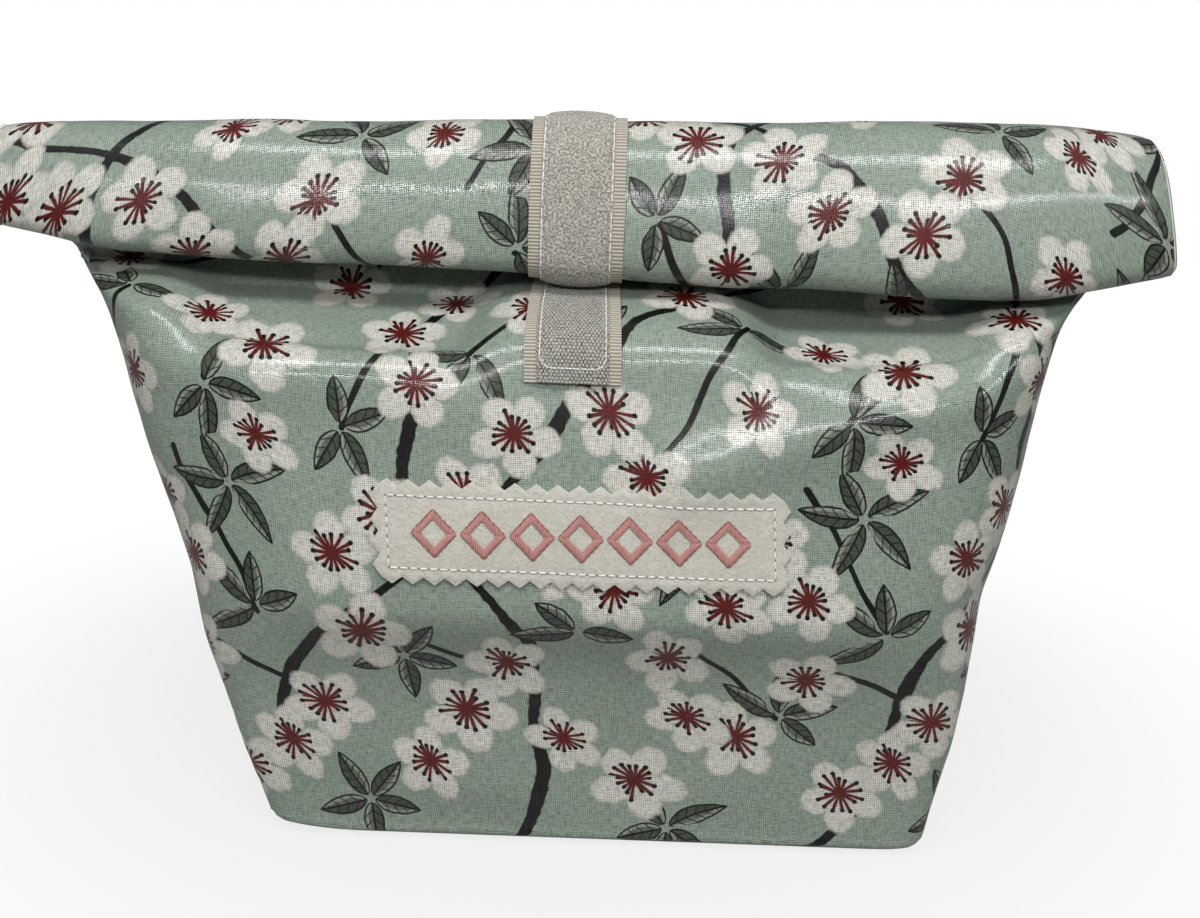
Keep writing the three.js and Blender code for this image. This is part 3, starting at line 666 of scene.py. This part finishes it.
def lean(points, shares):
    # the body stands a little to the right of its top, and narrows towards the base
    spec, corner = pouch, pouch["raisedCorner"]
    x, y, z = np.moveaxis(points, 2, 0)
    height = z.copy()
    low = np.clip(1 - height / spec["neckHeight"], 0, 1)
    x *= 1 - spec["baseNarrowing"] * low
    y *= 1 - spec["baseShallowing"] * low ** 2
    for sign, belly in ((-1, spec["leftBelly"]), (1, spec["rightBelly"])):
        reach = np.clip(sign * shares, 0, 1) ** 4
        x += sign * belly["by"] * reach * np.exp(-((height - belly["height"]) / spec["bellyReach"]) ** 2)
    # the left corners hang clear of the floor
    raised = smooth((-x - corner["from"]) / corner["over"]) * (1 - smooth(height / corner["height"]))
    z += corner["by"] * raised
    x += spec["lean"] * (1 - smooth(height / spec["leanHeight"])) + spec["sway"] * low


def clothMeasure(points, shares, wallStart, baseHalf):
    # mm of cloth across, and up each column from the base's edge; the base is measured flat
    walkedUp = np.linalg.norm(np.diff(points, axis=0), axis=2)
    up = np.concatenate([np.zeros((1, points.shape[1])), np.cumsum(walkedUp, axis=0)])
    up -= up[wallStart][None, :]
    uv = np.dstack([np.broadcast_to(shares * quarterGirth, up.shape), up])
    base = slice(pouch["baseRows"])
    uv[base, :, 0] = points[base, :, 0]
    uv[base, :, 1] = np.abs(points[base, :, 1]) - baseHalf
    return uv


def buildHalf(side):
    # rows of points of one panel, front or back, from the seam under the base to the mouth
    spec = pouch
    shares = np.linspace(-1, 1, spec["columns"] + 1)
    towards = -1.0 if side == "front" else 1.0
    rows = []

    def addRow(section, height, share=1.0):
        x, y = ringAt(section, shares)
        rows.append(np.column_stack(np.broadcast_arrays(x, towards * y * share, height)))

    baseWide, baseHalf, m, n = sectionAt(0)
    rim, under = spec["baseEdge"], spec["underside"]
    for k in np.linspace(0, 1, spec["baseRows"], endpoint=False):
        addRow((baseWide - rim, baseHalf - rim, m, n), under, k)
    for turn in np.linspace(0, math.pi / 2, spec["edgeRows"], endpoint=False):
        pull = rim * (1 - math.sin(turn))
        addRow((baseWide - pull, baseHalf - pull, m, n), under + rim * (1 - math.cos(turn)))
    wallStart = len(rows)
    meridian = []
    for h in np.linspace(rim / spec["neckHeight"], 1, 420):
        a, b, _, _ = sectionAt(h)
        meridian.append([a * 0.6, b, h * spec["neckHeight"], h])
    levels, _ = evenly(np.array(meridian), spec["wallStep"])
    for h in levels[:-1, 3]:
        addRow(sectionAt(h), h * spec["neckHeight"])
    neckStart = len(rows)
    path, walked, cuts = rollRows()
    tangent = np.gradient(path, walked, axis=0)
    tangent /= np.linalg.norm(tangent, axis=1, keepdims=True)
    for (y0, z0), (alongY, alongZ), far in zip(path, tangent, walked):
        half = mix(neckHalf, rollPath["halfThickness"], smooth(far / 24))
        wide = mix(neckWidth - spec["topNarrowing"], rollPath["halfWidth"], smooth(far / 12))
        square = mix(spec["neckSquareness"], rollPath["squareness"], smooth(far / 40))
        x, y = ringAt((wide, half, square, 2), shares)
        deep = half - towards * y
        rows.append(np.column_stack([x, y0 - alongZ * deep, z0 + alongY * deep]))
    points = np.array(rows)
    shapeRoll(points[neckStart:], walked)
    points = pushed(points, side, shares, wallStart, neckStart)
    lean(points, shares)
    return {"points": points, "uv": clothMeasure(points, shares, wallStart, baseHalf),
            "normals": normalsOf(points, side), "neckStart": neckStart, "wallStart": wallStart,
            "cuts": [0] + [neckStart + row for row in cuts] + [len(points) - 1],
            "path": path, "walked": walked}


halves = {side: buildHalf(side) for side in ("front", "back")}
print("cloth shaped:", halves["front"]["points"].shape, halves["front"]["cuts"])


# meshes
def addObject(name, data):
    made = bpy.data.objects.new(name, data)
    bpy.context.scene.collection.objects.link(made)
    return made


def gridMesh(name, points, uv, facing):
    # a sheet through rows of points, in mm; facing is a vector the first faces look along
    rowCount, columnCount = points.shape[:2]
    work = bmesh.new()
    bmesh.ops.create_grid(work, x_segments=columnCount - 1, y_segments=rowCount - 1, size=1.0)
    work.verts.ensure_lookup_table()
    work.verts.index_update()
    placeOf = {}
    for vert in work.verts:
        column = round((vert.co.x + 1) / 2 * (columnCount - 1))
        row = round((vert.co.y + 1) / 2 * (rowCount - 1))
        placeOf[vert.index] = (row, column)
        vert.co = points[row, column] * mm
    layer = work.loops.layers.uv.new("cloth")
    for face in work.faces:
        for loop in face.loops:
            loop[layer].uv = uv[placeOf[loop.vert.index]] * mm
    work.normal_update()
    work.faces.ensure_lookup_table()
    middle = work.faces[len(work.faces) // 2]
    if middle.normal.dot(facing) < 0:
        bmesh.ops.reverse_faces(work, faces=work.faces)
    bmesh.ops.remove_doubles(work, verts=work.verts, dist=1e-6)
    for edge in work.edges:
        edge.smooth = not edge.is_boundary
    return finishMesh(name, work)


def finishMesh(name, work):
    for face in work.faces:
        face.smooth = True
    mesh = bpy.data.meshes.new(name)
    work.to_mesh(mesh)
    work.free()
    return addObject(name, mesh)


def thicken(made, thickness):
    # the sheet grows to the side that its faces look away from
    modifier = made.modifiers.new("thickness", "SOLIDIFY")
    modifier.thickness = thickness * mm
    modifier.offset = -1


def addMaterial(made, name):
    made.data.materials.append(materials[name])


def hang(made, part):
    # part 0 rides on the bag; parts 1 to 4, the folds, ride on nothing and only have their placement
    # moved into their mesh
    if part == 0:
        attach(made, "bag")
        return
    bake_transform(made)


backPrint = (87.0, 40.0)  # the back panel is cut from another place of the print
clothLayers = [
    {"name": "_cloth_", "node": "%s_panel", "material": "cotton", "slot": "coated_cotton",
     "thickness": 0.6, "inset": 0.0},
    {"name": "_lining_", "node": "lining_%s", "material": "lining", "slot": "lining",
     "thickness": 0.4, "inset": 0.9},
]


def makeCloth():
    for side, half in halves.items():
        for part, partName in enumerate(["body"] + folds):
            rows = slice(half["cuts"][part], half["cuts"][part + 1] + 1)
            points, normals, uv = half["points"][rows], half["normals"][rows], half["uv"][rows]
            if side == "back":
                uv = uv + np.array(backPrint)
            facing = Vector(normals[(rows.stop - rows.start) // 2, points.shape[1] // 2])
            for layer in clothLayers:
                name = side + layer["name"] + partName
                made = gridMesh(name, points - normals * layer["inset"], uv, facing)
                thicken(made, layer["thickness"])
                addMaterial(made, layer["material"])
                node = layer["node"] % side
                nodes = [node, node + "_neck"] if part == 0 else [node + "_" + partName]
                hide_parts(*nodes)
                hang(made, part)


makeCloth()
print("cloth made")


def onCloth(half, across, row):
    # a place on a panel by mm across from its middle and by row, which may be a fraction
    points, normals = half["points"], half["normals"]
    column = (np.asarray(across) / quarterGirth + 1) / 2 * (points.shape[1] - 1)
    row = np.asarray(row, float)
    r0 = np.clip(np.floor(row).astype(int), 0, points.shape[0] - 2)
    c0 = np.clip(np.floor(column).astype(int), 0, points.shape[1] - 2)
    fr, fc = (row - r0)[..., None], (column - c0)[..., None]

    def blendOf(table):
        return ((1 - fr) * ((1 - fc) * table[r0, c0] + fc * table[r0, c0 + 1])
                + fr * ((1 - fc) * table[r0 + 1, c0] + fc * table[r0 + 1, c0 + 1]))
    normal = blendOf(normals)
    return blendOf(points), normal / np.linalg.norm(normal, axis=-1, keepdims=True)


def rowAtHeight(half, height):
    # the row of the wall whose middle stands at this height
    middle = half["points"].shape[1] // 2
    wall = half["points"][half["wallStart"]:half["neckStart"], middle, 2]
    return half["wallStart"] + np.interp(height, wall, np.arange(len(wall)))


# tapes
tape = {
    "width": 25.0, "middle": -1.6, "columns": 24, "lift": 0.12, "thickness": 0.7,
    "face": 0.75, "pile": 0.55, "selvedge": 2.8, "domeReach": 9.3, "dome": {"loop": 1.3, "hook": 0.15},
    "seamInset": 3.4, "hookSeamInset": 4.0, "seamCorner": 3.2,
    "loopStart": 164.0, "hookBottom": 132.4, "hookTop": 172.0,
}


def tapeSheet(name, half, rows, cover):
    across = np.linspace(-tape["width"] / 2, tape["width"] / 2, tape["columns"] + 1)
    grid = np.meshgrid(across, rows)
    points, normals = onCloth(half, grid[0] + tape["middle"], grid[1])
    # the pile stands proud of the flat selvedge on each side
    pile = smooth((tape["width"] / 2 - tape["selvedge"] - np.abs(grid[0])) / 1.1)
    dome = tape["dome"][cover] * np.clip(1 - (grid[0] / tape["domeReach"]) ** 2, 0, 1) ** 0.8
    points = points + normals * tape["lift"]
    middle = tape["columns"] // 2
    uv = np.dstack([grid[0], np.broadcast_to(lengthsAlong(points[:, middle])[:, None], grid[0].shape)])
    height = tape["face"] + tape["pile"] * pile + dome
    facing = Vector(normals[len(rows) // 2, middle])
    made = gridMesh(name, points + normals * height[..., None], uv, facing)
    thicken(made, tape["thickness"])
    addMaterial(made, cover)
    return made


def rowOfRoll(half, height, among=24):
    # the row among the first ones of the roll whose middle is nearest to this height
    return half["neckStart"] + int(np.argmin(np.abs(half["path"][:among, 1] - height)))


def makeLoopTape():
    half = halves["back"]
    marks = [rowOfRoll(half, tape["loopStart"])] + half["cuts"][1:]
    for part, partName in enumerate(["neck"] + folds):
        rows = np.arange(marks[part], marks[part + 1] + 1)
        made = tapeSheet("loop_tape_part_" + partName, half, rows, "loop")
        nodes = ["loop_tape_" + partName]
        if part > 0:
            nodes.append("loop_tape_bend_" + partName)
        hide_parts(*nodes)
        hang(made, part)


def makeHookTape():
    half = halves["front"]
    bottom = rowAtHeight(half, tape["hookBottom"])
    top = rowOfRoll(half, tape["hookTop"])
    rows = np.concatenate([[bottom], np.arange(math.ceil(bottom + 0.2), top + 1)])
    made = tapeSheet("hook_tape_strip", half, rows, "hook")
    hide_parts("hook_tape")
    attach(made, "bag")
    return rows


makeLoopTape()
hookRows = makeHookTape()
print("tapes made")


# stitches: how far apart, how long and how thick, and how high over the cloth
seams = {
    "loop": {"pitch": 2.7, "length": 2.75, "radius": 0.2, "lift": 1.32},
    "hook": {"pitch": 2.0, "length": 2.1, "radius": 0.2, "lift": 1.5},
    "hem": {"pitch": 3.0, "length": 2.6, "radius": 0.22, "lift": 0.05},
}
hem = {"inset": 5.0, "reach": 146, "tapeReach": 14}


def makeBead():
    work = bmesh.new()
    bmesh.ops.create_uvsphere(work, u_segments=7, v_segments=5, radius=1.0,
                              matrix=Matrix.Rotation(math.pi / 2, 4, "Y"))
    for face in work.faces:
        face.smooth = True
    bead = bpy.data.meshes.new("bead")
    work.to_mesh(bead)
    work.free()
    return bead


bead = makeBead()


def addStitch(work, place, way, normal, length, radius):
    # one thread between two needle holes: a bead drawn out in the way it runs, all in mm
    x = Vector(way).normalized()
    z = (Vector(normal) - x * Vector(normal).dot(x)).normalized()
    turn = Matrix((x, z.cross(x), z)).transposed().to_4x4()
    size = Matrix.Diagonal((length * mm / 2, radius * mm, radius * mm, 1))
    placed = Matrix.Translation(Vector(place * mm)) @ turn @ size
    bead.transform(placed)
    work.from_mesh(bead)
    bead.transform(placed.inverted())


def stitchLine(work, points, normals, seam):
    # even stitches along a line of points, in mm
    pitch = seam["pitch"]
    line, walked = evenly(np.hstack([points + normals * seam["lift"], normals]), pitch / 12)
    count = max(1, int(walked[-1] / pitch))
    spare = (walked[-1] - count * pitch) / 2
    for i in range(count):
        at = spare + (i + 0.5) * pitch
        k = int(np.clip(np.searchsorted(walked, at), 2, len(line) - 3))
        way = line[k + 2, :3] - line[k - 2, :3]
        addStitch(work, line[k, :3], way, line[k, 3:], seam["length"], seam["radius"])


def makeLoopStitches():
    half = halves["back"]
    marks = [rowOfRoll(half, tape["loopStart"]) + 1] + half["cuts"][1:5]
    for part, partName in enumerate(["neck"] + folds[:3]):
        rows = np.arange(marks[part], marks[part + 1] + 1)
        work = bmesh.new()
        for side in (-1, 1):
            across = np.full(len(rows), tape["middle"] + side * (tape["width"] / 2 - tape["seamInset"]))
            points, normals = onCloth(half, across, rows)
            stitchLine(work, points, normals, seams["loop"])
        made = finishMesh("loop_stitches_" + partName, work)
        addMaterial(made, "thread")
        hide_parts("loop_thread_left_" + partName, "loop_thread_right_" + partName)
        hang(made, part)


def makeHookStitches():
    half = halves["front"]
    inset, corner, step = tape["hookSeamInset"], tape["seamCorner"], pouch["wallStep"]
    reach = tape["width"] / 2 - inset
    bottom, top = hookRows[0] + inset / step, half["neckStart"] - 3
    # down one side and round its corner, then the same mirrored
    turn = np.linspace(0, math.pi / 2, 6)
    across = np.append(np.full(30, -reach), -reach + corner * (1 - np.cos(turn)))
    bend = bottom + corner * (1 - np.sin(turn)) / step
    rows = np.append(np.linspace(top, bottom + corner / step, 30), bend)
    across, rows = np.append(across, -across[::-1]), np.append(rows, rows[::-1])
    points, normals = onCloth(half, across + tape["middle"], rows)
    work = bmesh.new()
    stitchLine(work, points, normals, seams["hook"])
    made = finishMesh("hook_stitches", work)
    addMaterial(made, "thread")
    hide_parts("hook_tape_thread")
    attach(made, "bag")


def makeHemStitches():
    for side, half in halves.items():
        walked = half["walked"]
        row = half["neckStart"] + np.interp(walked[-1] - hem["inset"], walked, np.arange(len(walked)))
        across = np.linspace(-hem["reach"], hem["reach"], 400)
        points, normals = onCloth(half, across, np.full(len(across), row))
        work = bmesh.new()
        spans, names = [slice(None)], ["hem_thread_front"]
        if side == "back":
            # the loop tape covers the middle of the back's seam
            spans = [across < -hem["tapeReach"], across > hem["tapeReach"]]
            names = ["hem_thread_back_left", "hem_thread_back_right"]
        for keep in spans:
            stitchLine(work, points[keep], normals[keep], seams["hem"])
        made = finishMesh("hem_stitches_" + side, work)
        addMaterial(made, "thread")
        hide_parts(*names)
        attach(made, "roll_hem")


makeLoopStitches()
makeHookStitches()
makeHemStitches()
print("stitches made")

# label
label = {
    "width": 109.0, "height": 26.6, "centre": 94.6, "thickness": 1.1, "gap": 0.15,
    "pitch": 5.45, "pink": 1.9, "pinkBand": 3.2,
    "seamInset": 4.2, "stitch": 2.6, "seamGroove": 0.16, "edgeRounding": 0.25,
    "thread": {"length": 2.0, "radius": 0.27}, "hole": {"length": 0.5, "radius": 0.22},
}
motif = {
    "count": 7, "length": 89.0, "height": 12.0, "space": 0.5, "lift": 0.3,
    # a diamond is filled where it would be hollow by no more than the smallest hollow
    "threads": 24, "band": 2.6, "smallest": 0.4, "overlap": 0.5, "silkRadius": 0.3,
    "outline": {"each": 5, "length": 1.9, "radius": 0.26},
}


def onLabel(x, z, lift):
    # a place over the label by its own x and z, in mm from its middle
    half = halves["front"]
    row = rowAtHeight(half, label["centre"] + np.asarray(z))
    points, normals = onCloth(half, np.asarray(x), row)
    return points + normals * np.asarray(lift)[..., None], normals


def toothed(t, pitch):
    # 0 between the teeth and 1 at their tips
    return 1 - np.abs((t / pitch) % 1.0 * 2 - 1)


def makeLabel():
    spec = label
    innerWide, innerTall = spec["width"] / 2 - spec["pink"], spec["height"] / 2 - spec["pink"]
    teethX = round(2 * innerWide / spec["pitch"])
    teethZ = round(2 * innerTall / spec["pitch"])
    x = np.linspace(-innerWide, innerWide, teethX * 8 + 1)
    z = np.linspace(-innerTall, innerTall, teethZ * 8 + 1)
    gx, gz = np.meshgrid(x, z)
    # rows near an edge move out with the teeth, the more the nearer they are
    nearTop = np.clip(1 - (innerTall - np.abs(gz)) / spec["pinkBand"], 0, 1)
    nearSide = np.clip(1 - (innerWide - np.abs(gx)) / spec["pinkBand"], 0, 1)
    outZ = toothed(gx + innerWide, 2 * innerWide / teethX) * spec["pink"] * nearTop
    outX = toothed(gz + innerTall, 2 * innerTall / teethZ) * spec["pink"] * nearSide
    gz = gz + np.sign(gz) * outZ
    gx = gx + np.sign(gx) * outX
    edge = np.maximum(nearTop, nearSide)
    lift = spec["gap"] + spec["thickness"] - spec["edgeRounding"] * smooth(edge * 4 - 3)
    seam = np.minimum(np.abs(innerWide + spec["pink"] - spec["seamInset"] - np.abs(gx)),
                      np.abs(innerTall + spec["pink"] - spec["seamInset"] - np.abs(gz)))
    lift -= spec["seamGroove"] * np.exp(-(seam / 0.8) ** 2)
    points, _ = onLabel(gx, gz, lift)
    made = gridMesh("label_patch", points, np.dstack([gx, gz]), Vector((0, -1, 0)))
    thicken(made, spec["thickness"])
    addMaterial(made, "leather")
    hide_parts("label")
    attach(made, "bag")


def stitchOnLabel(work, x, z, step, lift, length, radius):
    # one stitch that runs towards a small step in x and z; gives its way back
    place, normal = onLabel(x, z, lift)
    ahead, _ = onLabel(x + step[0], z + step[1], lift)
    addStitch(work, place, ahead - place, normal, length, radius)
    return ahead - place


def makeLabelStitches():
    spec = label
    thread, hole = spec["thread"], spec["hole"]
    top = spec["thickness"] + spec["gap"]
    wide, tall = spec["width"] / 2 - spec["seamInset"], spec["height"] / 2 - spec["seamInset"]
    corners = [(-wide, -tall), (wide, -tall), (wide, tall), (-wide, tall), (-wide, -tall)]
    threads, holes = bmesh.new(), bmesh.new()
    for (x0, z0), (x1, z1) in zip(corners, corners[1:]):
        count = round(math.hypot(x1 - x0, z1 - z0) / spec["stitch"])
        step = ((x1 - x0) * 0.01, (z1 - z0) * 0.01)
        for i in range(count):
            t = (i + 0.5) / count
            way = stitchOnLabel(threads, mix(x0, x1, t), mix(z0, z1, t), step, top,
                                thread["length"], thread["radius"])
            # each needle hole gets a small dark bead: painted shade in the hole
            place, normal = onLabel(mix(x0, x1, i / count), mix(z0, z1, i / count), spec["thickness"])
            addStitch(holes, place, way, normal, hole["length"], hole["radius"])
    made = finishMesh("label_stitches", threads)
    addMaterial(made, "thread")
    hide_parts("label_thread")
    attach(made, "bag")
    dark = finishMesh("label_needle_hole_shade", holes)
    addMaterial(dark, "holes")
    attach(dark, "bag")


def makeMotif():
    # a chain of diamonds in satin stitch, each thread upright, with a darker outline
    spec, border = motif, motif["outline"]
    step = spec["length"] / spec["count"]
    half, tall = step / 2 - spec["space"], spec["height"] / 2
    corners = [(-half, 0), (0, tall), (half, 0), (0, -tall), (-half, 0)]
    top = label["thickness"] + spec["lift"]
    silk, outline = bmesh.new(), bmesh.new()
    for k in range(spec["count"]):
        centre = -spec["length"] / 2 + (k + 0.5) * step
        for i in range(spec["threads"]):
            x = mix(-half, half, (i + 0.5) / spec["threads"])
            high = tall * (1 - abs(x) / half)
            low = high - spec["band"]
            if low <= spec["smallest"]:
                low = 0.0
            for sign in (-1, 1):
                stitchOnLabel(silk, centre + x, sign * (low + high) / 2, (0.12, 1.0), top,
                              high - low + spec["overlap"], spec["silkRadius"])
        for (x0, z0), (x1, z1) in zip(corners, corners[1:]):
            way = ((x1 - x0) * 0.05, (z1 - z0) * 0.05)
            for i in range(border["each"]):
                t = (i + 0.5) / border["each"]
                stitchOnLabel(outline, centre + mix(x0, x1, t), mix(z0, z1, t), way, top,
                              border["length"], border["radius"])
    made = finishMesh("label_motif_silk", silk)
    addMaterial(made, "silk")
    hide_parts("label_motif")
    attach(made, "bag")
    edge = finishMesh("label_motif_outline", outline)
    addMaterial(edge, "silkEdge")
    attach(edge, "bag")


makeLabel()
makeLabelStitches()
makeMotif()
print("label made")

# floor, light and camera
studio = {
    "focal": 1211.5, "place": (0.0068, -0.3415, 0.2326), "pitch": 22.28, "roll": 2.11, "ambient": 0.17,
}


def whiten(factor, shader, kind, output):
    # what the output shows turns from its shader to plain white by a factor
    white = factor.node(kind, None, {"Color": (1.0, 1.0, 1.0, 1.0), "Strength": 1.0})
    own = Wire(factor.tree, shader.outputs[0])
    blend = factor.node("MixShader", None, {0: factor, 1: own, 2: white})
    feed(factor.tree.nodes[output], {"Surface": blend})


def makeFloor():
    # a pale floor that keeps the shadow and turns to plain white further off
    work = bmesh.new()
    bmesh.ops.create_grid(work, x_segments=1, y_segments=1, size=6.0)
    floor = finishMesh("floor", work)
    made, wire, surface = newMaterial("pale floor")
    place = wire.node("TexCoord", None, None, 3)
    feed(surface, {
        "Base Color": mixColour(place.noise(3.0, 1.0), paint(164, 164, 163), paint(169, 169, 168)),
        "Roughness": 0.9,
        "Specular IOR Level": 0.1,
    })
    x, y, _ = place.parts()
    faraway = ((x * x * 0.5 + y * y) ** 0.5).ramp(0.07, 0.2)
    seen = place.node("LightPath")
    whiten((faraway * 0.2 + 0.8) * seen, surface, "Emission", "Material Output")
    floor.data.materials.append(made)


def makeWorld():
    world = bpy.data.worlds.new("studio")
    bpy.context.scene.world = world
    world.use_nodes = True
    wire = Wire(world.node_tree)
    light = wire.tree.nodes["Background"]
    feed(light, {"Color": (1.0, 1.0, 1.0, 1.0), "Strength": studio["ambient"]})
    whiten(wire.node("LightPath"), light, "Background", "World Output")


def makeLight(name, place, aim, size, power):
    lamp = bpy.data.lights.new(name, "AREA")
    lamp.shape = "RECTANGLE"
    lamp.size, lamp.size_y = size
    lamp.energy = power
    made = addObject(name, lamp)
    made.location = place
    made.rotation_euler = (Vector(aim) - Vector(place)).to_track_quat("-Z", "Y").to_euler()


def makeStudio():
    makeFloor()
    makeWorld()
    makeLight("strip", (0.06, -0.43, 0.42), (0, -0.03, 0.14), (0.85, 0.012), 1.75)
    makeLight("key", (-0.02, -0.31, 0.8), (0, -0.03, 0.13), (0.7, 0.16), 4.5)
    makeLight("side", (-1.0, -0.5, 0.8), (0, 0, 0.1), (0.5, 0.5), 0.7)
    bpy.context.scene.view_settings.view_transform = "Standard"


def makeCamera():
    data = bpy.data.cameras.new("camera")
    data.sensor_width = 36.0
    data.lens = 36.0 * studio["focal"] / 1200.0
    made = addObject("camera", data)
    made.location = studio["place"]
    tilt = Matrix.Rotation(math.radians(90 - studio["pitch"]), 4, "X")
    lean = Matrix.Rotation(math.radians(studio["roll"]), 4, "Z")
    made.rotation_euler = (tilt @ lean).to_euler()
    bpy.context.scene.camera = made


makeStudio()
makeCamera()
print("studio made")
